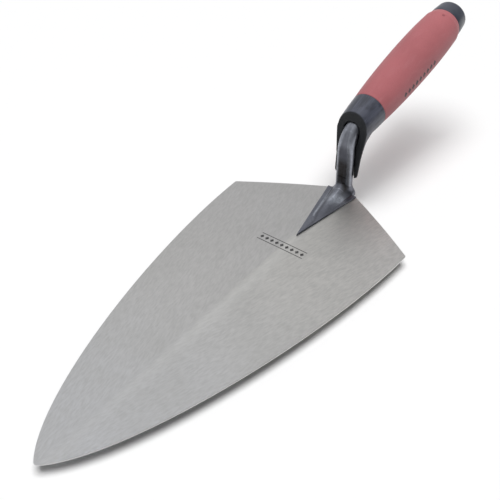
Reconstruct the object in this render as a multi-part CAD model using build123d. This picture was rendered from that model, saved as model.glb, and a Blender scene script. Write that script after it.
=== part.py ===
from build123d import *
import os
from math import cos, radians, sin, tan

# Brick trowel. Millimetres and degrees, +Z up, the blade's point towards -Y and the handle towards +Y.
# The origin is on the blade's flat underside, on the centre line, at the blade's widest station.

# ---- blade ----
blade_length = 279.4            # point to back edge, 11 inches
blade_width = 139.7             # across the shoulders, 5 1/2 inches
heel_depth = 33.6               # widest station to the back edge
heel_flat = 23.6                # straight part of the back edge, as wide as the shank's foot
heel_bow = 0.8                  # how far each sloping heel edge bows outwards
side_pull_heel = (67.5, -86.0)  # control points of the side curve, as x and y
side_pull_point = (34.3, -219.0)
shoulder_radius = 1.6
point_radius = 2.5
blade_thick_heel = 1.9          # on the centre line at the back edge
blade_thick_shoulder = 1.3
blade_thick_point = 1.1

# ---- shank: foot, post, bend and tang ----
foot_length = 60.0
foot_thick = 0.9                # flange over the blade's top face
ridge_half = 7.2                # half width of the foot's ridge at the heel
ridge_back_corner = 2.3
ridge_levels = (                # level cuts through the ridge, each given by its height over the
    (-0.6, 44.0, 7.2, 0.8, 0.5),   # flange, nose ahead of the back edge, half width at the back,
    (0.8, 21.0, 6.9, 2.4, 1.2),    # half width and corner radius at the nose
    (2.8, 6.5, 6.5, 4.3, 1.8),
)
post_half_width = 6.1
post_half_depth = 3.5
post_offset = 1.7               # post's centre behind the blade's back edge
post_corner = 3.0
root_height = 10.0              # where the foot has become the plain post
bend_radius = 16.0
bend_half_width = 5.6           # the forging is nearly round where it enters the handle
bend_half_depth = 4.9
bend_corner = 4.5
swell_share = 0.6               # share of the bend over which the section swells
tang_length = 84.0              # from the end of the bend to its rear end
tang_end_half = 2.6
tang_end_corner = 1.4

# ---- handle ----
handle_tilt = 13.0              # rise of the handle's axis towards its butt
grip_front = (62.3, 54.5)       # y and z where the axis crosses the grip's front edge
grip_length = 104.0
grip_shoulder = 99.2            # start of the chamfer at the butt end, along the axis
collar_radius = 13.0            # at the grip's front edge
collar_front_radius = 11.2
collar_front = 24.0             # distance in front of the grip at which that radius is reached
barrel_radius = 11.0            # core under the grip
grip_profile = ((28.0, 14.9), (62.0, 15.7))   # distance along the axis and radius
shoulder_grip_radius = 14.5
end_grip_radius = 13.2
cap_front_radius = 13.1
cap_rear_radius = 12.2
cap_face_radius = 9.0
cap_length = 14.0
cap_rounding = 3.6              # length of the rounded end
plug_radius = 6.0               # the cap's spigot and the bore behind the tang
plug_length = 12.0

# ---- finger guard ----
rim_lean = 7.0                  # the rim's plane leans back from the vertical
rim_foot = (36.2, 14.6)         # y and z of the rim's lower edge
guard_tip_half = 9.2            # half width of the rim at its lower edge
guard_tip_depth = 5.4           # depth behind the rim there
guard_tip_corner = 3.6
guard_waist_z = 30.0            # where the finger rest begins
guard_waist_half = 9.9
guard_waist_depth = 6.2
finger_rest_radius = 14.0
finger_rest_turn = 75.0
guard_top_half = 11.3           # where the finger rest reaches the collar
cheek_z = 49.4                  # where the guard's sides run out into the collar's
shank_gap = 0.7                 # clearance round the shank in the guard

# ---- worked out from the above ----
point_y = heel_depth - blade_length
half_width = blade_width / 2
foot_half = heel_flat / 2
flange_top = blade_thick_heel + foot_thick
post_y = heel_depth + post_offset
post_back_y = post_y + post_half_depth
axis_y = cos(radians(handle_tilt))
axis_z = sin(radians(handle_tilt))
bend_turn = 90.0 - handle_tilt
bend_end_y = post_y + bend_radius * (1 - cos(radians(bend_turn)))
bend_end_z = grip_front[1] + (bend_end_y - grip_front[0]) * tan(radians(handle_tilt))
bend_start_z = bend_end_z - bend_radius * sin(radians(bend_turn))
bend_end_station = (bend_end_y - grip_front[0]) / axis_y
over = 6.0                      # how far cutting shapes reach past what they cut


def mirror_x(point):
    return (-point[0], point[1])


# ---- blade ----
def blade_outline():
    """One heel edge and one side as curves, then their mirror images."""
    heel_corner = (foot_half, heel_depth)
    shoulder = (half_width, 0)
    run_x = shoulder[0] - heel_corner[0]
    run_y = shoulder[1] - heel_corner[1]
    run = (run_x ** 2 + run_y ** 2) ** 0.5
    bow_x = heel_corner[0] + run_x / 2 - heel_bow * run_y / run
    bow_y = heel_corner[1] + run_y / 2 + heel_bow * run_x / run
    back = Line(mirror_x(heel_corner), heel_corner)
    heel = ThreePointArc(heel_corner, (bow_x, bow_y), shoulder)
    side = Bezier(shoulder, side_pull_heel, side_pull_point, (0, point_y))
    return [back, heel, side, mirror(heel, about=Plane.YZ), mirror(side, about=Plane.YZ)]


def blade_roof():
    """Everything under the two ground faces that meet in a ridge along the centre line."""
    fall_y = (blade_thick_heel - blade_thick_point) / blade_length
    fall_x = (blade_thick_heel - fall_y * heel_depth - blade_thick_shoulder) / half_width
    reach = half_width + over

    def section(y):
        crest = blade_thick_heel + fall_y * (y - heel_depth)
        edge = crest - fall_x * reach
        corners = [(-reach, -over), (reach, -over), (reach, edge), (0, crest), (-reach, edge)]
        upright = Plane(origin=(0, y, 0), x_dir=(1, 0, 0), z_dir=(0, -1, 0))
        return upright * make_face(Polyline(*corners, close=True))

    return loft([section(heel_depth + over), section(point_y - over)], ruled=True)


def make_blade():
    slab = extrude(make_face(blade_outline()), amount=flange_top)
    shoulders = [e for e in slab.edges().filter_by(Axis.Z) if abs(e.center().Y) < 1]
    slab = fillet(shoulders, shoulder_radius)
    point = slab.edges().filter_by(Axis.Z).sort_by(Axis.Y)[:1]
    slab = fillet(point, point_radius)
    return slab & blade_roof()


# ---- shank ----
def ridge_section(height, nose_reach, back_half, nose_half, nose_corner):
    """A level cut through the foot's rising ridge: a blunt wedge with rounded corners."""
    nose_y = heel_depth - nose_reach
    corners = [(-back_half, post_back_y), (back_half, post_back_y), (nose_half, nose_y), (-nose_half, nose_y)]
    wedge = make_face(Polyline(*corners, close=True))
    wedge = fillet(wedge.vertices().sort_by(Axis.Y)[:2], nose_corner)
    wedge = fillet(wedge.vertices().sort_by(Axis.Y)[-2:], ridge_back_corner)
    return Pos(0, 0, flange_top + height) * wedge


def post_section(z, grow=0.0):
    """Level cut through the post, `grow` larger all round."""
    outline = RectangleRounded(2 * (post_half_width + grow), 2 * (post_half_depth + grow), post_corner + grow)
    return Plane(origin=(0, post_y, z), x_dir=(1, 0, 0), z_dir=(0, 0, 1)) * outline


def bend_section(turn, grow=0.0):
    """Section of the bend after `turn` degrees, square to its centre line."""
    part_way = min(1.0, turn / (swell_share * bend_turn))
    half_depth = post_half_depth + (bend_half_depth - post_half_depth) * part_way + grow
    half_across = post_half_width + (bend_half_width - post_half_width) * part_way + grow
    corner = post_corner + (bend_corner - post_corner) * part_way + grow
    angle = radians(turn)
    centre = (0, post_y + bend_radius * (1 - cos(angle)), bend_start_z + bend_radius * sin(angle))
    place = Plane(origin=centre, x_dir=(1, 0, 0), z_dir=(0, sin(angle), cos(angle)))
    return place * RectangleRounded(2 * half_across, 2 * half_depth, corner)


def tang_section(station, half_across, half_depth, corner):
    """Section of the tang, `station` behind the grip's front edge along the handle's axis."""
    centre = (0, grip_front[0] + station * axis_y, grip_front[1] + station * axis_z)
    place = Plane(origin=centre, x_dir=(1, 0, 0), z_dir=(0, axis_y, axis_z))
    return place * RectangleRounded(2 * half_across, 2 * half_depth, corner)


def post_and_bend(base_z, grow=0.0):
    post = extrude(post_section(base_z, grow), amount=bend_start_z - base_z)
    bend = loft([bend_section(bend_turn * k / 4, grow) for k in range(5)])
    return post + bend


def make_tang():
    front = tang_section(bend_end_station, bend_half_width, bend_half_depth, bend_corner)
    rear = tang_section(bend_end_station + tang_length, tang_end_half, tang_end_half, tang_end_corner)
    return loft([front, rear], ruled=True)


def make_shank(blade):
    """The foot lies on the blade and is notched over its back edge; post, bend and tang follow."""
    plan = [(-foot_half, heel_depth), (foot_half, heel_depth), (0, heel_depth - foot_length)]
    flange = extrude(make_face(Polyline(*plan, close=True)), amount=flange_top)
    heel_block = Pos(0, heel_depth, 0) * Box(
        2 * ridge_half, 2 * (post_back_y - heel_depth), flange_top,
        align=(Align.CENTER, Align.CENTER, Align.MIN))
    heel_block = fillet(heel_block.edges().filter_by(Axis.Z).sort_by(Axis.Y)[-2:], ridge_back_corner)
    levels = [ridge_section(*level) for level in ridge_levels]
    ridge = loft(levels + [post_section(root_height)])
    foot = (flange + heel_block + ridge) - blade
    return foot + post_and_bend(root_height) + make_tang()


# ---- handle ----
handle_plane = Plane(origin=(0, grip_front[0], grip_front[1]), x_dir=(0, axis_y, axis_z), z_dir=(1, 0, 0))
handle_axis = Axis((0, grip_front[0], grip_front[1]), (0, axis_y, axis_z))


def turned(lines):
    """Turn a half profile, drawn as distance along the axis and radius, about the handle's axis."""
    return revolve(handle_plane * make_face(lines), handle_axis, 360)


def in_front_of_rim():
    size = 120.0
    block = Box(size, size, 2 * size, align=(Align.CENTER, Align.MAX, Align.CENTER))
    return Pos(0, rim_foot[0], rim_foot[1]) * Rot(-rim_lean, 0, 0) * block


def guard_section(z, half_across, depth):
    """Level cut through the guard's tongue: flat rim in front, half an ellipse behind."""
    rim_y = rim_foot[0] + (z - rim_foot[1]) * tan(radians(rim_lean))
    rim = Line((half_across, 0), (-half_across, 0))
    back = EllipticalCenterArc((0, 0), half_across, depth, start_angle=0, arc_size=180)
    return Pos(0, rim_y, z) * make_face([rim, back])


def finger_rest_section(turn):
    """Section of the guard where it sweeps back into the collar in an arc, after `turn` degrees."""
    height = finger_rest_radius * sin(radians(turn))
    sweep = finger_rest_radius * (1 - cos(radians(turn)))
    widening = (guard_top_half - guard_waist_half) * turn / finger_rest_turn
    return guard_section(guard_waist_z + height, guard_waist_half + widening, guard_waist_depth + sweep)


def make_guard():
    tip = guard_section(rim_foot[1], guard_tip_half, guard_tip_depth)
    tongue = loft([tip, finger_rest_section(0)], ruled=True)
    rest = loft([finger_rest_section(finger_rest_turn * k / 3) for k in range(4)])
    sweep = finger_rest_radius * (1 - cos(radians(finger_rest_turn)))
    cheek_top = guard_section(cheek_z, guard_top_half, guard_waist_depth + sweep)
    cheek = loft([finger_rest_section(finger_rest_turn), cheek_top], ruled=True)
    tongue_height = guard_waist_z - rim_foot[1]
    front_view = Plane(origin=(0, 0, guard_waist_z), x_dir=(1, 0, 0), z_dir=(0, -1, 0))
    rounded_tip = extrude(
        front_view * RectangleRounded(2 * guard_waist_half, 2 * tongue_height, guard_tip_corner),
        amount=-4 * heel_depth)
    return (tongue & rounded_tip) + rest + cheek


def make_core(shank):
    collar_tip = -collar_front - over
    collar_and_barrel = turned([Polyline(
        (collar_tip, 0), (collar_tip, collar_front_radius), (-collar_front, collar_front_radius),
        (0, collar_radius), (0, barrel_radius), (grip_length, barrel_radius), (grip_length, 0), close=True)])
    plug_start = grip_length - plug_length
    bore = turned([Polyline((plug_start, 0), (plug_start, plug_radius), (grip_length + over, plug_radius),
                            (grip_length + over, 0), close=True)])
    core = (collar_and_barrel + make_guard()) - in_front_of_rim() - bore
    return core - post_and_bend(rim_foot[1] - over, shank_gap) - shank


def make_grip():
    return turned([
        Line((0, barrel_radius), (0, collar_radius)),
        Spline((0, collar_radius), *grip_profile, (grip_shoulder, shoulder_grip_radius)),
        Line((grip_shoulder, shoulder_grip_radius), (grip_length, end_grip_radius)),
        Line((grip_length, end_grip_radius), (grip_length, barrel_radius)),
        Line((grip_length, barrel_radius), (0, barrel_radius)),
    ])


def make_cap():
    end = grip_length + cap_length
    plug_start = grip_length - plug_length
    rounding = end - cap_rounding
    slant = (cap_rear_radius - cap_front_radius) / (rounding - grip_length)
    return turned([
        Line((grip_length, plug_radius), (grip_length, cap_front_radius)),
        Line((grip_length, cap_front_radius), (rounding, cap_rear_radius)),
        TangentArc((rounding, cap_rear_radius), (end, cap_face_radius), tangent=(1, slant)),
        Line((end, cap_face_radius), (end, 0)),
        Line((end, 0), (plug_start, 0)),
        Line((plug_start, 0), (plug_start, plug_radius)),
        Line((plug_start, plug_radius), (grip_length, plug_radius)),
    ])


blade = make_blade()
shank = make_shank(blade)
parts = {
    "blade": blade,
    "shank": shank,
    "handle_core": make_core(shank),
    "grip_sleeve": make_grip(),
    "butt_cap": make_cap(),
}

os.makedirs("parts", exist_ok=True)
for name, shape in parts.items():
    export_step(shape, os.path.join("parts", name + ".step"))
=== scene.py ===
from math import cos, pi, radians, sin, tan

import bpy
import numpy as np
from mathutils import Matrix, Vector


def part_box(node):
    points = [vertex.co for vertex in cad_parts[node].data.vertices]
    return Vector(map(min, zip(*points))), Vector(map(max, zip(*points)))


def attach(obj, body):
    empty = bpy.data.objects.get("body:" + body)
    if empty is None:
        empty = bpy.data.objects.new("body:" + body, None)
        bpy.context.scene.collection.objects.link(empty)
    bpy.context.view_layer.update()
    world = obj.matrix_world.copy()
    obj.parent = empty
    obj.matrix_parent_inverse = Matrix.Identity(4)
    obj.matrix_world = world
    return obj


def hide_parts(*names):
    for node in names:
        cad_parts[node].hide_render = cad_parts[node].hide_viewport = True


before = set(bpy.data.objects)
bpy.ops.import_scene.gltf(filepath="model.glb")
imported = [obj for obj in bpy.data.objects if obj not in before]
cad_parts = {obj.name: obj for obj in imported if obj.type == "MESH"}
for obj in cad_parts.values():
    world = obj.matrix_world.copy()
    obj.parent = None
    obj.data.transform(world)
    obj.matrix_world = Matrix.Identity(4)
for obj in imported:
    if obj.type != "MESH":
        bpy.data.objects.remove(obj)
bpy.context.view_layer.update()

# Brick trowel. Shapes are worked out in millimetres, in the CAD model's own frame, and become
# metres when a mesh is made. The blade's underside is at zero and its point is towards -Y.
MM = 0.001


def node_box(name):
    """Lowest and highest corner of a CAD node in millimetres."""
    low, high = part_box(name)
    return np.array(low) / MM, np.array(high) / MM


blade_low, blade_high = node_box("blade")
shank_low, shank_high = node_box("shank")
core_low, core_high = node_box("handle_core")

# ---- sizes ----
heel_y = blade_high[1]
point_y = blade_low[1] - 0.7            # where the sides would meet if the point weren't rounded
half_width = blade_high[0]
foot_half = shank_high[0]               # the back edge's straight part, as wide as the foot
blade_top = blade_high[2]
blade_edge_thick = 1.3                  # at the shoulders
blade_point_thick = 1.1
edge_round = 0.35                       # softened arris all round the blade
heel_bow = 0.8                          # how far each sloping heel edge bows outwards
shoulder_reach, point_reach = 0.92, 2.1  # how far the rounding of those corners reaches
side_pull_point = (34.3, -219.0)        # control points of the side curve
side_pull_heel = (67.5, -86.0)
crease_drift = 3.0                      # the crease wanders off the centre line towards the point
crease_soft = 2.5                       # width over which the two ground faces meet
crease_highlight_right, crease_highlight_left = 6.0, 1.2    # how far the crease's painted highlight spreads to each side
grind_turn = radians(13)                # the grinding marks fan out from the point

foot_length = heel_y - shank_low[1] - 1.2     # the tip is drawn out thin, then nipped off
flange_top = blade_top + 0.9
foot_skew = 2.2                         # how far the foot's tip lies off the centre line
ridge_left, ridge_right = 7.5, 8.2      # reach of the ridge's base each side at the heel
left_narrowing, right_narrowing = 0.157, 0.09   # what each loses for a millimetre ahead
ridge_reach = 39.0                      # length over which the ridge runs out ahead of the heel
ridge_nose = 6.0                        # length of its rounded nose
ridge_top = 4.6                         # the ridge's greatest height over the flange
heel_block_half = 7.2                   # half width of the block at the back of the foot
ridge_fall = 1.75                       # how steeply it sweeps down
ridge_sharpness = 1.5                   # 1 is a plain roof, 2 is round
root_fillet = 3.4                       # between the foot and the post
foot_bite = 0.35                        # how deep the foot's underside sits in the blade
root_highlight_spots = (((2.6, 20.6), 5.0), ((6.4, 22.6), 2.6))    # place and width of painted highlights at the root
post_y = heel_y + 1.7
post_half_width = 6.1
post_half_depth = 3.5
post_corner = 3.2
bend_radius = 16.0
bend_half_width = 5.6
bend_half_depth = 4.9
bend_corner = 4.5
swell_share = 0.6                       # share of the bend over which the section swells
tang_end_half = 2.6
tang_length = 84.0

tilt = radians(13.0)                    # rise of the handle's axis towards the butt
axis = np.array([0.0, cos(tilt), sin(tilt)])
across = np.array([0.0, -sin(tilt), cos(tilt)])
grip_front = np.array([0.0, 62.3, 54.5])    # where the axis crosses the grip's front edge
grip_length = 104.0
barrel_radius = 11.0                    # core under the grip
collar_radius = 13.0                    # at the grip's front edge
collar_slope, collar_curve = 0.0583, 0.00139    # how it narrows towards the front
plug_radius = 6.0                       # the cap's spigot, and the bore that takes it
plug_length = 12.0
cap_length = 13.91
cap_front_radius, cap_rear_radius, cap_face_radius = 13.08, 12.12, 9.0
cap_rounding = 3.6                      # length of the rounded end
gate_station = 96.6                     # small dimple left by the mould's gate
gate_angle = radians(74.6)
gate_radius = 14.6
gate_depth, gate_width = 0.45, 0.9

stamp_y = -38.5                         # centre of the ornament on the blade
stamp_half = 18.0                       # half its length
stamp_lozenge = (4.0, 1.4, 1.7)         # pitch, half length and half height of one lozenge
stamp_rule = (3.1, 0.3)                 # each rule's distance from the row, and half thickness
print_middle, print_half = 43.2, 21.6   # the ornament's stretch along the grip
print_lozenge = (4.8, 1.9, 2.3)

rim_lean = radians(7.0)                 # the core's front rim leans back as it rises
rim_foot = np.array([0.0, 36.2, core_low[2]])
guard_waist_z = 30.0                    # the finger guard is a straight tongue below this
guard_top_z = 49.4
guard_half, guard_depth = 9.9, 6.2      # at the waist
guard_narrowing, guard_thinning = 0.7, 0.8      # what each loses from there to the tip
guard_flare = 1.4                       # gain in half width from the waist to the collar
guard_corner = 3.6                      # at the tip, seen from the front
groove_gap = 0.7                        # between the bar and the core round it
finger_rest_radius = 14.0
finger_rest_rise = 13.5
finger_rest_turn = radians(75.0)

bend_turn = pi / 2 - tilt
bend_end_y = post_y + bend_radius * (1 - cos(bend_turn))
bend_end_z = grip_front[2] + (bend_end_y - grip_front[1]) * tan(tilt)
bend_start_z = bend_end_z - bend_radius * sin(bend_turn)


def gate_place():
    """The dimple's place as metres sideways, along the handle's axis and upwards."""
    sideways, upwards = gate_radius * cos(gate_angle), gate_radius * sin(gate_angle)
    return np.array([sideways, gate_station, upwards]) * MM


# ---- meshes ----
shank_cell, core_cell = 0.45, 0.5       # spacing of the grids that find the curved surfaces
grid_margin = 1.0


def make_piece(name, vertices, faces, node, finish, attributes=None):
    """A smooth-shaded mesh from millimetre vertices, which stands for a CAD node."""
    mesh = bpy.data.meshes.new(name)
    mesh.from_pydata((np.asarray(vertices) * MM).tolist(), [], np.asarray(faces).tolist())
    mesh.update()
    mesh.polygons.foreach_set("use_smooth", [True] * len(mesh.polygons))
    for key, values in (attributes or {}).items():
        values = np.asarray(values, np.float32)
        vector = values.ndim == 2
        layer = mesh.attributes.new(key, "FLOAT_VECTOR" if vector else "FLOAT", "POINT")
        layer.data.foreach_set("vector" if vector else "value", values.ravel())
    piece = bpy.data.objects.new(name, mesh)
    bpy.context.scene.collection.objects.link(piece)
    mesh.materials.append(finish)
    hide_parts(node)
    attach(piece, "root")


def grid_faces(rows, columns, closed=False):
    """Quads of a grid of vertices stored row by row; `closed` joins the last column to the first."""
    row = np.arange(rows - 1)[:, None]
    column = np.arange(columns if closed else columns - 1)[None, :]
    following = (column + 1) % columns
    corners = [row * columns + column, row * columns + following,
               (row + 1) * columns + following, (row + 1) * columns + column]
    return np.stack([np.broadcast_to(c, (rows - 1, column.size)) for c in corners], -1).reshape(-1, 4)


def gradient(field, points):
    """Slope of a field along x, y and z."""
    step = 0.02
    slopes = []
    for direction in np.eye(3) * step:
        slopes.append((field(points + direction) - field(points - direction)) / (2 * step))
    return np.stack(slopes, -1)


def net_surface(field, low, high, cell):
    """Surface net of a field's zero level: quads, with every vertex slid onto the surface."""
    counts = np.ceil((high - low) / cell).astype(int) + 1
    ticks = [(low[k] + cell * np.arange(counts[k])).astype(np.float32) for k in range(3)]
    inside = np.empty(counts, bool)
    for i, x in enumerate(ticks[0]):        # one slice at a time keeps the arrays small
        y, z = np.meshgrid(ticks[1], ticks[2], indexing="ij")
        inside[i] = field(np.stack([np.full_like(y, x), y, z], -1)) < 0
    filled = sum(inside[a:counts[0] - 1 + a, b:counts[1] - 1 + b, c:counts[2] - 1 + c].astype(np.int8)
                 for a in (0, 1) for b in (0, 1) for c in (0, 1))
    crossed = (filled > 0) & (filled < 8)
    number = np.full(crossed.shape, -1)
    number[crossed] = np.arange(crossed.sum())
    points = low + cell * (np.argwhere(crossed) + 0.5)
    faces = []
    for k in range(3):
        span = [slice(1, -1)] * 3
        span[k] = slice(0, -1)
        ahead = list(span)
        ahead[k] = slice(1, None)
        first, second = inside[tuple(span)], inside[tuple(ahead)]
        u, v = (k + 1) % 3, (k + 2) % 3
        for leaving in (True, False):
            at = np.argwhere((first & ~second) if leaving else (~first & second))
            at += [0 if j == k else 1 for j in range(3)]
            ring = []
            for du, dv in ((0, 0), (1, 0), (1, 1), (0, 1)):
                cell_at = at.copy()
                cell_at[:, u] -= 1 - du
                cell_at[:, v] -= 1 - dv
                ring.append(number[tuple(cell_at.T)])
            faces.append(np.stack(ring if leaving else ring[::-1], -1))
    faces = np.concatenate(faces)
    for _ in range(6):
        slope = gradient(field, points)
        size = np.maximum((slope ** 2).sum(-1), 0.05)
        move = -field(points)[:, None] * slope / size[:, None]
        length = np.linalg.norm(move, axis=-1, keepdims=True)
        points = points + move * np.minimum(1, 0.6 * cell / np.maximum(length, 1e-9))
    return points, faces


# ---- distance fields ----
def union(a, b, blend):
    """Joins two solids with a fillet about `blend` wide."""
    share = np.clip(0.5 + 0.5 * (b - a) / blend, 0, 1)
    return b + (a - b) * share - blend * share * (1 - share)


def meet(a, b, blend):
    """What two solids share, with its new edge rounded."""
    return -union(-a, -b, blend)


def cut(a, b, blend):
    """The first solid without the second."""
    return meet(a, -b, blend)


def rounded_rectangle(u, v, half_u, half_v, corner):
    """Distance to a rectangle with rounded corners, centred on zero."""
    past_u = np.abs(u) - half_u + corner
    past_v = np.abs(v) - half_v + corner
    outside = np.hypot(np.maximum(past_u, 0), np.maximum(past_v, 0))
    return outside + np.minimum(np.maximum(past_u, past_v), 0) - corner


def on_axis(y, z):
    """How far a point lies along the handle's axis, and how far above it."""
    y, z = y - grip_front[1], z - grip_front[2]
    return y * axis[1] + z * axis[2], y * across[1] + z * across[2]


def bar_field(p, grow=0.0):
    """The forged bar: upright post, bend and tang, with a section that changes along it."""
    x, y, z = p[..., 0], p[..., 1], p[..., 2]
    centre_y = post_y + bend_radius
    turn = np.arctan2(z - bend_start_z, centre_y - y)
    low, high = z < bend_start_z, (turn > bend_turn) | (y > centre_y)
    share = np.clip(turn / (swell_share * bend_turn), 0, 1)
    share = np.where(low, 0, np.where(high, 1, share))
    station, rise = on_axis(y, z)
    start, _ = on_axis(bend_end_y, bend_end_z)
    thinning = np.clip((station - start) / tang_length, 0, 1) * high
    out = np.hypot(y - centre_y, z - bend_start_z) - bend_radius
    out = np.where(low, post_y - y, out)
    out = np.where(high & ~low, rise, out)
    half_depth = post_half_depth + (bend_half_depth - post_half_depth) * share
    half_across = post_half_width + (bend_half_width - post_half_width) * share
    corner = post_corner + (bend_corner - post_corner) * share
    half_depth = half_depth + (tang_end_half - bend_half_depth) * thinning
    half_across = half_across + (tang_end_half - bend_half_width) * thinning
    corner = corner + (tang_end_half * 0.5 - bend_corner) * thinning
    section = rounded_rectangle(x, out, half_across + grow, half_depth + grow, corner + grow)
    end = station - start - tang_length
    return np.maximum(section, np.where(high & ~low, end, -99))


def ridge_base(ahead, on_right):
    """How far the ridge's base reaches to one side, where it rises from the flange."""
    nose = np.clip((ridge_reach - ahead) / ridge_nose, 0.01, 1)
    ahead = np.maximum(ahead, 0)
    left, right = ridge_left - left_narrowing * ahead, ridge_right - right_narrowing * ahead
    return np.where(on_right, right, left) * np.sqrt(nose)


def foot_field(p):
    """Flange and ridge of the foot, drawn a little to one side towards its tip."""
    x, y, z = p[..., 0], p[..., 1], p[..., 2]
    ahead = heel_y - y
    share = np.clip(ahead / foot_length, -0.2, 1)
    off = x - foot_skew * share
    plan = (np.abs(off) - foot_half * (1 - np.maximum(share, 0))) * 0.98
    flange = meet(meet(plan, z - flange_top, 0.4), -ahead, 0.4)
    crest = ridge_fall * np.log(ridge_reach / np.clip(ahead - 1.7, 0.8, ridge_reach - 1))
    outwards = np.clip(np.abs(off) / ridge_base(ahead, off > 0), 0, 1)
    height = np.minimum(crest, ridge_top) * (1 - outwards ** ridge_sharpness)
    ridge = meet((z - flange_top - height) * 0.8, plan, 0.4)
    back_y = post_y + post_half_depth
    ridge = meet(meet(ridge, y - back_y, 1.6), np.abs(off) - ridge_right, 0.8)
    heel_block = rounded_rectangle(x, y - heel_y - 1.0, heel_block_half, back_y - heel_y - 1.0, 1.5)
    heel_block = meet(heel_block, z - flange_top, 0.5)
    return union(union(flange, ridge, 0.5), heel_block, 0.6)


def shank_field(p):
    """The whole forging, cut off where the blade lies under it."""
    y, z = p[..., 1], p[..., 2]
    solid = union(bar_field(p), foot_field(p), root_fillet)
    over_blade = blade_top - foot_bite - z
    behind_blade = np.maximum(0.05 - z, heel_y - y)
    return np.maximum(solid, np.minimum(over_blade, behind_blade))


def core_field(p):
    """Collar, barrel and finger guard, with the groove that the bar lies in."""
    x, y, z = p[..., 0], p[..., 1], p[..., 2]
    station, rise = on_axis(y, z)
    radius = np.hypot(x, rise)
    front = np.clip(station, -30, 0)
    collar = radius - (collar_radius + collar_slope * front - collar_curve * front ** 2)
    collar = meet(collar, station, 0.4)
    past_ends = np.abs(station - grip_length / 2) - grip_length / 2
    barrel = meet(radius - barrel_radius, past_ends, 0.4)
    bore = np.maximum(radius - plug_radius, grip_length - plug_length - station)
    climb = np.clip(z - guard_waist_z, 0, finger_rest_radius * sin(finger_rest_turn))
    sweep = finger_rest_radius - np.sqrt(finger_rest_radius ** 2 - climb ** 2)
    down = np.clip((guard_waist_z - z) / (guard_waist_z - rim_foot[2]), 0, 1.2)
    flare = guard_flare * np.clip(climb / finger_rest_rise, 0, 1)
    half_across = guard_half - guard_narrowing * down + flare
    depth = guard_depth - guard_thinning * down + sweep
    rim_y = rim_foot[1] + (z - rim_foot[2]) * tan(rim_lean)
    oval = np.hypot(x / half_across, (y - rim_y) / depth)
    guard = (oval - 1) * np.minimum(half_across, depth)
    tongue = guard_waist_z - rim_foot[2]
    front_view = rounded_rectangle(x, z - guard_waist_z, guard_half, tongue, guard_corner)
    guard = np.where(z < guard_waist_z, meet(guard, front_view, 1.0), guard)
    guard = meet(guard, z - guard_top_z, 2.0)
    solid = union(collar, guard, 2.2)
    solid = meet(solid, (rim_y - y) * cos(rim_lean), 0.9)
    solid = union(solid, barrel, 0.3)
    solid = cut(solid, bore, 0.3)
    return cut(solid, bar_field(p, groove_gap), 0.5)


def sharpness(field, points, reach):
    """About +1 on a sharp outer edge, 0 on a flat and -1 in a sharp inner corner."""
    slope = gradient(field, points)
    normal = slope / np.maximum(np.linalg.norm(slope, axis=-1, keepdims=True), 1e-6)
    helper = np.where(np.abs(normal[:, 2:3]) < 0.7, [[0, 0, 1.0]], [[1.0, 0, 0]])
    first = np.cross(normal, helper)
    first = first / np.linalg.norm(first, axis=-1, keepdims=True)
    second = np.cross(normal, first)
    total = 0
    for turn in np.arange(8) * pi / 4:
        total = total + field(points + reach * (cos(turn) * first + sin(turn) * second))
    return np.clip(total / reach, -1, 1)


def bump_at(distance, width):
    """A soft spot or line: 1 at no distance, gone at about twice its width."""
    return np.exp(-(distance / width) ** 2)


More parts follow.
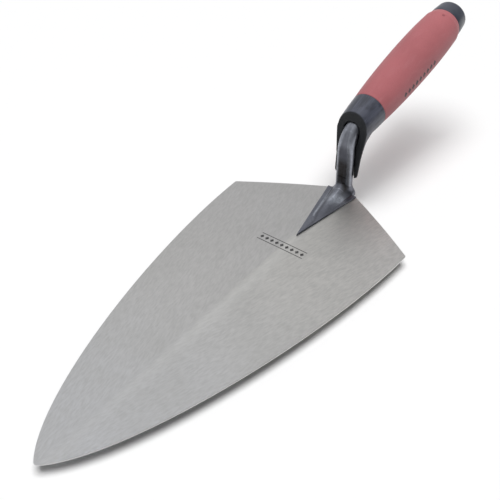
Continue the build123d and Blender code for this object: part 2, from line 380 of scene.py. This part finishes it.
# ---- finishes ----
class Finish:
    """One procedural material, built up from nodes."""

    def __init__(self, name, **plain):
        self.material = bpy.data.materials.new(name)
        self.material.use_nodes = True
        self.tree = self.material.node_tree
        self.shader = self.tree.nodes["Principled BSDF"]
        for key, value in plain.items():
            self.shader.inputs[key.replace("_", " ")].default_value = value

    def feed(self, socket, value):
        """Links a node's output to a socket, or sets a plain value on it."""
        if isinstance(value, bpy.types.NodeSocket):
            self.tree.links.new(value, socket)
        else:
            socket.default_value = value

    def node(self, kind, inputs, output=0, **settings):
        made = self.tree.nodes.new(kind)
        for key, value in settings.items():
            setattr(made, key, value)
        for key, value in inputs.items():
            self.feed(made.inputs[key], value)
        return made.outputs[output]

    def attribute(self, name, output="Vector"):
        return self.node("ShaderNodeAttribute", {}, output, attribute_name=name)

    def math(self, operation, *values):
        return self.node("ShaderNodeMath", dict(enumerate(values)), operation=operation)

    def scaled(self, vector, factors):
        return self.node("ShaderNodeVectorMath", {0: vector, 1: factors}, operation="MULTIPLY")

    def axis(self, vector, name):
        return self.node("ShaderNodeSeparateXYZ", {0: vector}, name)

    def noise(self, vector, scale, detail, roughness):
        inputs = {"Vector": vector, "Scale": scale, "Detail": detail, "Roughness": roughness}
        return self.node("ShaderNodeTexNoise", inputs)

    def ramp(self, value, low, high, to_low=0.0, to_high=1.0):
        inputs = {"Value": value, "From Min": low, "From Max": high, "To Min": to_low, "To Max": to_high}
        return self.node("ShaderNodeMapRange", inputs, interpolation_type="SMOOTHSTEP")

    def blend(self, share, first, second):
        """Mixes two colours; a share of 1 gives the second."""
        made = self.tree.nodes.new("ShaderNodeMix")
        made.data_type = "RGBA"
        self.feed(made.inputs[0], share)
        self.feed(made.inputs[6], first)
        self.feed(made.inputs[7], second)
        return made.outputs[2]

    def bump(self, height, strength, distance, below=None):
        inputs = {"Height": height, "Strength": strength, "Distance": distance}
        if below is not None:
            inputs["Normal"] = below
        return self.node("ShaderNodeBump", inputs)

    def within(self, value, centre, half, soft=0.00012):
        """1 where the value is within `half` of the centre, 0 outside, with a soft border."""
        off = self.math("ABSOLUTE", self.math("SUBTRACT", value, centre))
        return self.ramp(off, half - soft, half + soft, 1.0, 0.0)

    def lozenges(self, along, across_it, pitch, half_length, half_height):
        """An endless row of lozenges along a line."""
        u = self.math("DIVIDE", self.math("PINGPONG", along, pitch / 2), half_length)
        v = self.math("DIVIDE", self.math("ABSOLUTE", across_it), half_height)
        return self.ramp(self.math("ADD", u, v), 0.9, 1.1, 1.0, 0.0)

    def stamp_on_blade(self, x, y):
        """Plain ornament: a row of lozenges between two straight rules."""
        y = self.math("SUBTRACT", y, stamp_y * MM)
        row = self.lozenges(x, y, *(size * MM for size in stamp_lozenge))
        away, half = (size * MM for size in stamp_rule)
        rules = self.math("MAXIMUM", self.within(y, away, half), self.within(y, -away, half))
        marks = self.math("MAXIMUM", row, rules)
        return self.math("MULTIPLY", marks, self.within(x, 0.0, stamp_half * MM))

    def print_on_grip(self, x, station, upwards):
        """Plain ornament: a row of lozenges along the grip's right side."""
        row = self.lozenges(station, upwards, *(size * MM for size in print_lozenge))
        stretch = self.within(station, print_middle * MM, print_half * MM)
        return self.math("MULTIPLY", self.math("MULTIPLY", row, stretch), self.ramp(x, 0.0, 0.001))

    def finish(self, colour, roughness, normal):
        """Feeds the shader and gives the material back."""
        self.feed(self.shader.inputs["Base Color"], colour)
        self.feed(self.shader.inputs["Roughness"], roughness)
        self.feed(self.shader.inputs["Normal"], normal)
        return self.material


def shade(red, green, blue):
    """A colour given as 0 to 255 display values."""
    def linear(value):
        value /= 255
        return value / 12.92 if value <= 0.04045 else ((value + 0.055) / 1.055) ** 2.4
    return (linear(red), linear(green), linear(blue), 1.0)


def ground_steel():
    """Ground blade steel: fine short flecks that fan out from the point, and a faint mottle."""
    f = Finish("ground_steel", Metallic=1.0)
    flow = f.attribute("flow")
    x, y = f.axis(flow, "X"), f.axis(flow, "Y")
    on_top = f.attribute("top", "Fac")
    beneath = f.math("SUBTRACT", 1.0, on_top)
    side = f.math("MAXIMUM", f.ramp(x, -0.0012, 0.0012), beneath)

    def flecks(stretch, scale, detail):
        made = []
        for turn in (-grind_turn, grind_turn):
            turned = f.node("ShaderNodeMapping", {"Vector": flow, "Rotation": (0, 0, turn)})
            made.append(f.noise(f.scaled(turned, stretch), scale, detail, 0.6))
        return f.node("ShaderNodeMix", {0: side, 2: made[0], 3: made[1]}, data_type="FLOAT")

    fine = flecks((1.0, 0.22, 1.0), 900, 4)
    broad = flecks((1.0, 0.42, 1.0), 400, 4)
    cloud = f.noise(flow, 22, 4, 0.55)
    near_heel = f.ramp(y, -0.23, 0.0)
    # painted reflection: the top face is made lighter towards the right of the heel
    right_heel_reflection = f.math("MULTIPLY", f.ramp(x, 0.0, 0.07), f.ramp(y, -0.09, 0.0))
    right_heel_reflection = f.math("MULTIPLY", right_heel_reflection, on_top)
    colour = f.blend(near_heel, shade(205, 205, 207), shade(214, 211, 206))
    colour = f.blend(right_heel_reflection, colour, shade(228, 226, 223))
    shaded = f.math("MULTIPLY", f.math("SUBTRACT", 1.0, side), near_heel)
    colour = f.blend(shaded, colour, shade(203, 201, 200))
    colour = f.blend(f.ramp(cloud, 0.3, 0.7, 0.0, 0.35), colour, shade(192, 191, 188))
    colour = f.blend(f.ramp(fine, 0.3, 0.75, 0.0, 0.4), colour, shade(178, 178, 176))
    colour = f.blend(f.ramp(broad, 0.35, 0.7, 0.0, 0.16), colour, shade(184, 183, 180))
    # painted highlight along the crease
    colour = f.blend(f.math("MULTIPLY", f.attribute("crease", "Fac"), 0.42), colour, shade(222, 221, 218))
    # painted highlight on the arris
    colour = f.blend(f.attribute("edge", "Fac"), colour, shade(240, 240, 240))
    stamp = f.math("MULTIPLY", f.stamp_on_blade(x, y), on_top)
    ink = f.math("MULTIPLY", stamp, f.ramp(fine, 0.2, 0.7, 1.0, 0.75))
    colour = f.blend(ink, colour, shade(46, 45, 47))
    roughness = f.ramp(fine, 0.3, 0.7, 0.42, 0.5)
    etched = f.bump(f.math("SUBTRACT", 1.0, stamp), 0.5, 0.00005)
    return f.finish(colour, roughness, f.bump(fine, 0.12, 0.00003, etched))


def forged_steel():
    """Dark forging: brighter on rubbed edges and under painted highlights, darker under painted shade, with
    a brown-black band on the post's front.
    """
    f = Finish("forged_steel", Metallic=1.0)
    flow = f.attribute("flow")
    z = f.axis(flow, "Z")
    streaks = f.noise(f.scaled(flow, (1.0, 1.0, 0.06)), 700, 4, 0.6)
    cloud = f.noise(flow, 60, 3, 0.5)
    pits = f.noise(flow, 420, 4, 0.65)
    colour = f.blend(f.ramp(cloud, 0.35, 0.65), shade(116, 118, 127), shade(132, 134, 143))
    colour = f.blend(f.ramp(z, 0.034, 0.052), colour, shade(140, 142, 150))
    colour = f.blend(f.ramp(streaks, 0.3, 0.7, 0, 0.4), colour, shade(98, 100, 108))
    wavering = f.math("ADD", z, f.math("MULTIPLY", f.math("SUBTRACT", cloud, 0.5), 0.008))
    # the dark brown-black band on the post's front
    scale = f.attribute("scale", "Fac")
    patchy = f.math("MULTIPLY", scale, f.ramp(f.math("ADD", streaks, pits), 0.7, 1.25, 1.0, 0.72))
    colour = f.blend(patchy, colour, shade(66, 63, 61))
    for height in (0.0108, 0.0156):         # two darker lines across the dark band
        line = f.ramp(f.math("ABSOLUTE", f.math("SUBTRACT", wavering, height)), 0.0002, 0.0009, 0.75, 0.0)
        colour = f.blend(f.math("MULTIPLY", line, scale), colour, shade(38, 36, 36))
    # brighter on rubbed edges, with painted highlights along the ridge's base and at the root
    wear_and_highlight = f.math("MULTIPLY", f.attribute("wear_and_highlight", "Fac"), f.ramp(pits, 0.35, 0.6, 0.55, 1.0))
    colour = f.blend(wear_and_highlight, colour, shade(205, 210, 220))
    # painted shade in inner corners and along the ridge's left flank
    colour = f.blend(f.attribute("painted_shade", "Fac"), colour, shade(52, 52, 56))
    roughness = f.ramp(cloud, 0.3, 0.7, 0.36, 0.46)
    return f.finish(colour, roughness, f.bump(pits, 0.25, 0.00012, f.bump(streaks, 0.3, 0.00005)))


def core_plastic():
    """Hard plastic: faint lines dragged along the collar, with painted sheen in the collar's lighter, bluer
    colour; a duller grained face on the rim, darker partly as painted shade.
    """
    f = Finish("core_plastic")
    place = f.attribute("flow")
    grain = f.noise(place, 1800, 3, 0.6)
    drag_and_sheen = f.noise(f.scaled(place, (1.0, 0.06, 1.0)), 520, 5, 0.65)
    cloud = f.noise(place, 90, 3, 0.5)
    rim = f.attribute("rim", "Fac")
    # painted sheen: the collar is lightened and blued, in broad patches and along the lines
    colour = f.blend(f.ramp(cloud, 0.35, 0.65), shade(54, 56, 65), shade(62, 64, 74))
    colour = f.blend(f.ramp(drag_and_sheen, 0.42, 0.66, 0, 0.6), colour, shade(88, 91, 104))
    colour = f.blend(f.ramp(cloud, 0.5, 0.66, 0, 0.4), colour, shade(84, 87, 99))
    # the rim's duller face: darker partly for its own finish and partly as painted shade
    colour = f.blend(rim, colour, shade(30, 32, 36))
    roughness = f.math("ADD", f.ramp(drag_and_sheen, 0.3, 0.7, 0.3, 0.4), f.math("MULTIPLY", rim, 0.3))
    return f.finish(colour, roughness, f.bump(grain, 0.2, 0.00005, f.bump(drag_and_sheen, 0.35, 0.00006)))


def soft_grip():
    """Soft overmould: matt, finely grained, a little dusty, with a plain printed row on one side."""
    f = Finish("soft_grip", Specular_IOR_Level=0.35, Sheen_Weight=0.04, Sheen_Roughness=0.45,
               Sheen_Tint=(0.8, 0.86, 1.0, 1.0))
    place = f.attribute("flow")
    grain = f.noise(place, 1500, 3, 0.6)
    scuffs = f.noise(f.scaled(place, (1.0, 0.25, 1.0)), 260, 4, 0.6)
    cloud = f.noise(place, 50, 3, 0.5)
    colour = f.blend(f.ramp(cloud, 0.35, 0.65), shade(165, 98, 102), shade(171, 102, 106))
    colour = f.blend(f.ramp(f.axis(place, "Y"), 0.05, 0.104, 0.0, 0.6), colour, shade(180, 108, 112))
    colour = f.blend(f.ramp(scuffs, 0.45, 0.75, 0, 0.35), colour, shade(178, 118, 122))
    colour = f.blend(f.ramp(grain, 0.45, 0.7, 0, 0.3), colour, shade(148, 86, 91))
    gate = f.node("ShaderNodeVectorMath", {0: place, 1: tuple(gate_place())}, 1, operation="DISTANCE")
    colour = f.blend(f.ramp(gate, 0.0006, 0.0016, 0.55, 0.0), colour, shade(110, 56, 62))
    print_mask = f.print_on_grip(f.axis(place, "X"), f.axis(place, "Y"), f.axis(place, "Z"))
    ink = f.math("MULTIPLY", print_mask, f.ramp(scuffs, 0.4, 0.7, 0.92, 0.6))
    colour = f.blend(ink, colour, shade(44, 40, 46))
    roughness = f.ramp(scuffs, 0.3, 0.7, 0.5, 0.62)
    return f.finish(colour, roughness, f.bump(grain, 0.3, 0.00007))


def cap_plastic():
    """Smoother plastic of the butt, rubbed a little at its end."""
    f = Finish("cap_plastic", Coat_Weight=0.25, Coat_Roughness=0.2)
    place = f.attribute("flow")
    grain = f.noise(place, 1600, 3, 0.6)
    rub = f.noise(place, 300, 4, 0.65)
    cloud = f.noise(place, 90, 3, 0.5)
    colour = f.blend(f.ramp(cloud, 0.35, 0.65), shade(57, 60, 70), shade(65, 68, 79))
    near_end = f.ramp(f.axis(place, "Y"), 0.108, 0.118)
    rubbed = f.math("MULTIPLY", near_end, f.ramp(rub, 0.5, 0.7))
    colour = f.blend(f.math("MULTIPLY", rubbed, 0.4), colour, shade(104, 106, 114))
    roughness = f.ramp(rub, 0.3, 0.7, 0.3, 0.42)
    return f.finish(colour, roughness, f.bump(grain, 0.2, 0.00005))


# ---- blade ----
def bezier(points, count):
    """Points along a cubic curve with four control points."""
    points = [np.array(p, float) for p in points]
    t = np.linspace(0, 1, count)[:, None]
    a, b, c, d = points
    return (1 - t) ** 3 * a + 3 * (1 - t) ** 2 * t * b + 3 * (1 - t) * t ** 2 * c + t ** 3 * d


def rounded(points, reach):
    """Rounds the corner where two runs of points meet, `reach` along each of them."""
    first, second = points
    corner = first[-1]
    first = first[np.linalg.norm(first - corner, axis=1) > reach]
    second = second[np.linalg.norm(second - corner, axis=1) > reach]
    start = corner + (first[-1] - corner) / np.linalg.norm(first[-1] - corner) * reach
    end = corner + (second[0] - corner) / np.linalg.norm(second[0] - corner) * reach
    turn = np.linspace(0, 1, 9)[:, None]
    arc = (1 - turn) ** 2 * start + 2 * turn * (1 - turn) * corner + turn ** 2 * end
    return np.concatenate([first, arc, second])


def blade_side():
    """Right half of the outline, from the point to the back corner."""
    side = bezier([(0, point_y), side_pull_point, side_pull_heel, (half_width, 0)], 240)
    run = np.linspace(0, 1, 70)[:, None]
    shoulder, corner = np.array([half_width, 0.0]), np.array([foot_half, heel_y])
    outward = np.array([corner[1] - shoulder[1], shoulder[0] - corner[0]])
    outward = outward / np.linalg.norm(outward)
    heel = shoulder + (corner - shoulder) * run + outward * 4 * heel_bow * run * (1 - run)
    mirrored = side[::-1] * [-1, 1]
    return right_half(rounded([rounded([mirrored, side], point_reach), heel], shoulder_reach))


def right_half(outline):
    """The part of an outline from the centre line onwards, starting on it."""
    kept = outline[outline[:, 0] > 1e-6]
    return np.concatenate([[[0.0, kept[0, 1] - 0.01]], kept])


def crease_x(y):
    """How far the crease lies off the centre line."""
    return crease_drift * np.clip(-y / half_width, 0, 1)


def blade_surface(x, y):
    """Height of the blade's upper face: two ground faces that meet in a soft crease."""
    fall_y = (blade_top - blade_point_thick) / (heel_y - point_y)
    fall_x = (blade_top - fall_y * heel_y - blade_edge_thick) / half_width
    soft = np.hypot(x - crease_x(y), crease_soft) - crease_soft
    return blade_top + fall_y * (y - heel_y) - fall_x * soft


def outward_normals(points):
    """Outward directions in plan along a closed outline."""
    along = np.roll(points, -1, 0) - np.roll(points, 1, 0)
    normal = np.stack([along[:, 1], -along[:, 0]], -1)
    return normal / np.maximum(np.linalg.norm(normal, axis=1, keepdims=True), 1e-9)


def make_blade(finish):
    """Upper and lower faces as grids, joined by rings that round the arris over."""
    side = blade_side()
    normal = outward_normals(np.concatenate([side, side[::-1] * [-1, 1]]))[:len(side)]
    normal[0], normal[-1] = (0, -1), (0, 1)
    inner = side - normal * edge_round
    inner[0, 0] = 0.0
    spread = np.concatenate([[-1, -0.992], np.linspace(-0.975, 0.975, 57), [0.992, 1]])
    rows, columns = len(inner), len(spread)
    x = np.maximum(inner[:, 0:1], 0.02) * spread
    y = np.repeat(inner[:, 1:2], columns, 1)
    plan = np.stack([x, y], -1).reshape(-1, 2)
    count = len(plan)
    number = np.arange(count).reshape(rows, columns)
    loop = np.concatenate([number[:, -1], number[-1, -2:0:-1], number[::-1, 0], number[0, 1:-1]])
    ends = outward_normals(plan[loop])
    vertices = [np.column_stack([plan, blade_surface(x, y).ravel()])]
    top = blade_surface(plan[loop, 0], plan[loop, 1])
    rings = [loop]
    for turn in (0.25, 0.5, 0.75, 1.0):
        out = edge_round * sin(turn * pi / 2)
        down = edge_round * (1 - cos(turn * pi / 2))
        vertices.append(np.column_stack([plan[loop] + ends * out, top - down]))
        rings.append(count + (len(rings) - 1) * len(loop) + np.arange(len(loop)))
    for turn in (1.0, 0.5):
        out = edge_round * sin(turn * pi / 2)
        up = edge_round * (1 - cos(turn * pi / 2))
        vertices.append(np.column_stack([plan[loop] + ends * out, np.full(len(loop), up)]))
        rings.append(count + (len(rings) - 1) * len(loop) + np.arange(len(loop)))
    walls = [np.stack([a, b, np.roll(b, -1), np.roll(a, -1)], -1) for a, b in zip(rings, rings[1:])]
    under_start = count + (len(rings) - 1) * len(loop)
    vertices.append(np.column_stack([plan, np.zeros(count)]))
    under = grid_faces(rows, columns)[:, ::-1] + under_start
    under_loop = loop + under_start
    last = [np.stack([rings[-1], under_loop, np.roll(under_loop, -1), np.roll(rings[-1], -1)], -1)]
    vertices = np.concatenate(vertices)
    faces = np.concatenate([grid_faces(rows, columns)] + walls + last + [under])
    # painted highlight along the crease on the top face, wider to its right and fading towards the point
    from_crease = vertices[:, 0] - crease_x(vertices[:, 1])
    fading = np.clip((vertices[:, 1] - point_y) / 150, 0.25, 1)
    width = np.where(from_crease > 0, crease_highlight_right, crease_highlight_left)
    top_face = (vertices[:, 2] > edge_round).astype(float)
    crease = bump_at(from_crease, width) * fading * top_face
    # painted highlight on the rounded arris all round, stronger along the sloping heel edges
    edge = np.zeros(len(vertices))
    edge[count:under_start] = 0.3
    on_heel = np.zeros(len(vertices), bool)
    on_heel[loop] = on_heel[count:under_start] = True
    edge[on_heel & (vertices[:, 1] > 1.5)] = 0.9
    make_piece("blade_steel", vertices, faces, "blade", finish,
               {"flow": vertices * MM, "crease": crease, "edge": edge, "top": top_face})


# ---- shank ----
def make_shank(finish):
    """The forging, with its rubbed edges and painted highlights, its painted shade and the dark band on the
    post's front as attributes.
    """
    # The uneven margins keep the grid's planes off the forging's flat faces.
    low = np.array([-foot_half - 1.13, shank_low[1] - 1.07, -0.52])
    high = np.array([foot_half, shank_high[1], shank_high[2]]) + grid_margin
    vertices, faces = net_surface(shank_field, low, high, shank_cell)
    x, y, z = vertices.T
    edge = sharpness(shank_field, vertices, 0.8)
    ahead = heel_y - y
    off = x - foot_skew * np.clip(ahead / foot_length, 0, 1)
    on_flange = z < flange_top + 0.6
    # painted highlight: a light line along the ridge's left base
    base_highlight = bump_at(off + ridge_base(ahead, False), 0.6) * (z < flange_top + 3)
    base_highlight = base_highlight * (ahead < ridge_reach - 3)
    base_highlight = base_highlight * np.clip(ahead / 12, 0, 1) * (z > blade_top)
    # painted highlights on the root fillet
    root = sum(bump_at(np.hypot(x - at[0], y - at[1]), width) for at, width in root_highlight_spots)
    # wear on the sharp edges, then the painted highlights along the ridge's base and at the root
    wear_and_highlight = np.clip((edge - 0.3) * 1.6, 0, 0.7) * np.where(on_flange, 0.15, 1)
    wear_and_highlight = wear_and_highlight + 0.8 * base_highlight + root * (z < flange_top + 8)
    # painted shade: darker in the inner corners low on the forging, and in a band along the ridge's left
    # flank
    painted_shade = np.clip((-edge - 0.25) * 1.5, 0, 0.7) * (z < 14)
    painted_shade = painted_shade + 0.35 * bump_at(off + ridge_base(ahead, False) - 2.0, 1.1) * (ahead > 4) * (z < 7)
    # a darker brown-black band across the post's front, between about 9 and 32 mm up
    rising = np.clip((z - 8.5 + 1.4 * np.clip(x, 0, 4)) / 3.5, 0, 1) * np.clip((32 - z) / 6, 0, 1)
    scale = rising * np.clip((6.0 - np.abs(x - 0.1)) / 2.4, 0, 1) * (y < post_y + 1)
    make_piece("shank_forging", vertices, faces, "shank", finish,
               {"flow": vertices * MM, "wear_and_highlight": np.clip(wear_and_highlight, 0, 1), "painted_shade": np.clip(painted_shade, 0, 1),
                "scale": scale})


# ---- handle ----
def make_core(finish):
    """Collar, barrel and guard in one; the ring round its mouth has a finish of its own, and is darker
    partly as painted shade.
    """
    # The uneven margin keeps the grid's planes off the barrel's and the bore's sides.
    vertices, faces = net_surface(core_field, core_low - 1.13, core_high + grid_margin, core_cell)
    from_front = vertices - grip_front
    flow = np.column_stack([from_front[:, 0], from_front @ axis, from_front @ across]) * MM
    from_rim = vertices - rim_foot
    behind_rim = from_rim[:, 1] * cos(rim_lean) - from_rim[:, 2] * sin(rim_lean)
    rim = np.clip(1.6 - behind_rim / 0.7, 0, 1)
    make_piece("core_moulding", vertices, faces, "handle_core", finish,
               {"flow": flow, "rim": rim})


def smooth_line(points, count):
    """Points along a Catmull-Rom curve, `count` to each span."""
    points = np.array(points, float)
    padded = np.vstack([2 * points[0] - points[1], points, 2 * points[-1] - points[-2]])
    made = []
    for a, b, c, d in zip(padded, padded[1:], padded[2:], padded[3:]):
        for t in np.linspace(0, 1, count, endpoint=False):
            made.append(0.5 * (2 * b + (c - a) * t + (2 * a - 5 * b + 4 * c - d) * t ** 2
                               + (3 * b - a - 3 * c + d) * t ** 3))
    return np.array(made + [points[-1]])


def turned(name, profile, node, slot, finish, dent=None, around=160):
    """Turns a closed profile of station and radius about the handle's axis."""
    profile = np.asarray(profile)
    angle = 2 * pi * np.arange(around) / around
    station, radius = profile[:, 0:1], profile[:, 1:2]
    if dent is not None:
        radius = radius - dent(station, angle) * (radius > barrel_radius + 1)
    sideways = radius * np.cos(angle)
    upwards = radius * np.sin(angle)
    vertices = grip_front + station[..., None] * axis + upwards[..., None] * across
    vertices = vertices + sideways[..., None] * np.array([1.0, 0, 0])
    faces = grid_faces(len(profile), around, closed=True)
    flow = np.stack([sideways, np.broadcast_to(station, sideways.shape), upwards], -1)
    make_piece(name, vertices.reshape(-1, 3), faces[:, ::-1], node, finish,
               {"flow": flow.reshape(-1, 3) * MM})


def make_grip(finish):
    """The grip's barrel, given by station and radius, with a chamfer at its butt end."""
    barrel = [(0.4, 13.02), (12, 14.0), (30, 15.0), (50, 15.58), (68, 15.68), (84, 15.3), (98.9, 14.48)]
    profile = [(0.0, barrel_radius), (0.0, 12.7), (0.1, 12.93)]
    profile += smooth_line(barrel, 22).tolist()
    profile += [(99.15, 14.42), (99.4, 14.33), (100.0, 14.15), (101.5, 13.74), (103.6, 13.2),
                (103.9, 13.08), (grip_length, 12.9), (grip_length, barrel_radius), (0.0, barrel_radius)]

    def gate_dimple(station, angle):
        away = np.hypot(station - gate_station, gate_radius * (angle - gate_angle))
        lip = 0.1 * bump_at(away - 1.6, 0.4)
        return gate_depth * bump_at(away, gate_width) - lip

    turned("grip_rubber", profile, "grip_sleeve", "soft_grip", finish, gate_dimple)


def make_cap(finish):
    """Tapered cap with a rounded end, and the spigot that goes into the core."""
    end = grip_length + cap_length
    shoulder = end - cap_rounding
    spigot_end = end - 26
    centre = 0.02                       # the profile stops this short of the axis
    profile = [(grip_length, plug_radius), (grip_length, 12.8), (grip_length + 0.1, 13.0)]
    profile += [(grip_length + 0.4, cap_front_radius), (grip_length + 5, 12.8), (shoulder, cap_rear_radius)]
    for turn in np.linspace(0.1, 1, 9) * pi / 2:
        radius = cap_face_radius + (cap_rear_radius - cap_face_radius) * cos(turn)
        profile.append((shoulder + cap_rounding * sin(turn), radius))
    profile += [(end, 6.0), (end, 3.0), (end, centre)]
    profile += [(spigot_end, centre), (spigot_end, plug_radius), (grip_length, plug_radius)]
    turned("cap_moulding", profile, "butt_cap", "cap_plastic", finish)


# ---- scene ----
camera_azimuth, camera_elevation, camera_roll = radians(39.40), radians(40.70), radians(-1.995)
camera_distance = 0.49705               # metres, as are the lengths below
camera_aim = (-0.01495, -0.05314, 0.0)
camera_lens, camera_film = 54.893, 36.0
lamp_power = 3.1
lamp_spread = radians(46)
lamp_lean = radians(1.0)
floor_half = 6.0
floor_drop = 0.007                      # floor below the blade, for the wide soft shadow
diffuse_sky = 0.15                      # how much the surround lights matt surfaces


def make_camera():
    """The photograph's view."""
    azimuth, elevation, roll = camera_azimuth, camera_elevation, camera_roll
    back = Vector((sin(azimuth) * cos(elevation), -cos(azimuth) * cos(elevation), sin(elevation)))
    right = Vector((cos(azimuth), sin(azimuth), 0))
    up = back.cross(right)
    turned_right = right * cos(roll) + up * sin(roll)
    turned_up = up * cos(roll) - right * sin(roll)
    data = bpy.data.cameras.new("camera")
    data.lens = camera_lens
    data.sensor_width = camera_film
    camera = bpy.data.objects.new("camera", data)
    place = Vector(camera_aim) + back * camera_distance
    turned_to = Matrix((turned_right, turned_up, back)).transposed().to_4x4()
    camera.matrix_world = Matrix.Translation(place) @ turned_to
    bpy.context.scene.collection.objects.link(camera)
    bpy.context.scene.camera = camera


def make_lamp():
    """A very broad lamp overhead, even over the whole floor, and not seen in reflections."""
    data = bpy.data.lights.new("overhead", "SUN")
    data.energy = lamp_power
    data.angle = lamp_spread
    lamp = bpy.data.objects.new("overhead", data)
    lamp.rotation_euler = (0.0, lamp_lean, 0.0)
    lamp.visible_glossy = False
    bpy.context.scene.collection.objects.link(lamp)


def make_stage():
    """A plain pale floor, a little lower than the blade."""
    corners = [(x * floor_half, y * floor_half, 0) for x, y in ((-1, -1), (1, -1), (1, 1), (-1, 1))]
    mesh = bpy.data.meshes.new("floor")
    mesh.from_pydata(corners, [], [(0, 1, 2, 3)])
    floor = bpy.data.objects.new("floor", mesh)
    floor.location.z = -floor_drop
    bpy.context.scene.collection.objects.link(floor)
    paint = bpy.data.materials.new("floor_paint")
    paint.use_nodes = True
    shader = paint.node_tree.nodes["Principled BSDF"]
    shader.inputs["Base Color"].default_value = (0.9, 0.9, 0.9, 1)
    shader.inputs["Roughness"].default_value = 0.9
    mesh.materials.append(paint)


def make_sky():
    """Studio surround. Gloss sees it brighter above and to the left, with a glow overhead and a dark
    patch on the right; matt surfaces get a little even light from it, and the camera sees it white."""
    world = bpy.data.worlds.new("studio")
    world.use_nodes = True
    tree = world.node_tree
    place = tree.nodes.new("ShaderNodeTexCoord").outputs["Generated"]

    def connect(kind, first, second, operation):
        made = tree.nodes.new(kind)
        made.operation = operation
        for slot, value in enumerate((first, second)):
            if isinstance(value, bpy.types.NodeSocket):
                tree.links.new(value, made.inputs[slot])
            else:
                made.inputs[slot].default_value = value
        return made.outputs["Value"]

    def towards(direction):
        return connect("ShaderNodeVectorMath", place, direction, "DOT_PRODUCT")

    def math(first, second, operation):
        return connect("ShaderNodeMath", first, second, operation)

    level = math(towards((-0.2, 0.0, 0.2)), 0.41, "ADD")
    for direction, strength in (((-0.2, 0.1, 0.97), 0.45), ((0.8, 0.4, 0.45), -0.3)):
        spot = math(math(towards(direction), 0.0, "MAXIMUM"), 6.0, "POWER")
        level = math(level, math(spot, strength, "MULTIPLY"), "ADD")
    rays = tree.nodes.new("ShaderNodeLightPath").outputs
    seen_in_gloss = math(level, rays["Is Glossy Ray"], "MULTIPLY")
    on_matt = math(rays["Is Diffuse Ray"], diffuse_sky, "MULTIPLY")
    strength = math(math(seen_in_gloss, on_matt, "ADD"), rays["Is Camera Ray"], "ADD")
    background = tree.nodes["Background"]
    background.inputs["Color"].default_value = (0.975, 0.985, 1.0, 1)
    tree.links.new(strength, background.inputs["Strength"])
    bpy.context.scene.world = world


make_blade(ground_steel())
make_shank(forged_steel())
make_core(core_plastic())
make_grip(soft_grip())
make_cap(cap_plastic())
make_stage()
make_sky()
make_lamp()
make_camera()
bpy.context.scene.view_settings.view_transform = "Standard"
